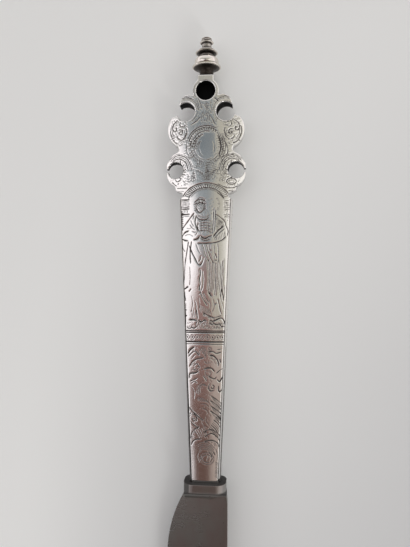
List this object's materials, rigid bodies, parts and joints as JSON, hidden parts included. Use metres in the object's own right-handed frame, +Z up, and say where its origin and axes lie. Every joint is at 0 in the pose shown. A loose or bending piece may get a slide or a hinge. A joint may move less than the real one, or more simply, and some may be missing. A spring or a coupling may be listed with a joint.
{
  "type": "knife",
  "caption": "Slender knife with a flat engraved silver handle, a pierced scroll head, a turned finial, an oval bolster and a dark single-edged steel blade.",
  "frame": {"origin": "on the table under the middle of the knife's box, as it lies flat on its back", "axes": "+Y along the knife towards the finial, -X towards the cutting edge, +Z up out of the engraved front face"},
  "size_m": [0.0176, 0.207, 0.0064],
  "materials": {
    "silver": "engraved silver with dark tarnish in the grooves",
    "dark_steel": "dark brown patina, ground and lightly pitted",
    "pitch": "dull dark resin"
  },
  "bodies": {
    "root": {"pierced_head": "silver", "finial": "silver", "finial_collar": "silver", "front_plate": "silver", "back_plate": "silver", "left_edge_strip": "silver", "right_edge_strip": "silver", "base_cap": "silver", "pitch_core": "pitch", "blade": "dark_steel"}
  },
  "joints": []
}
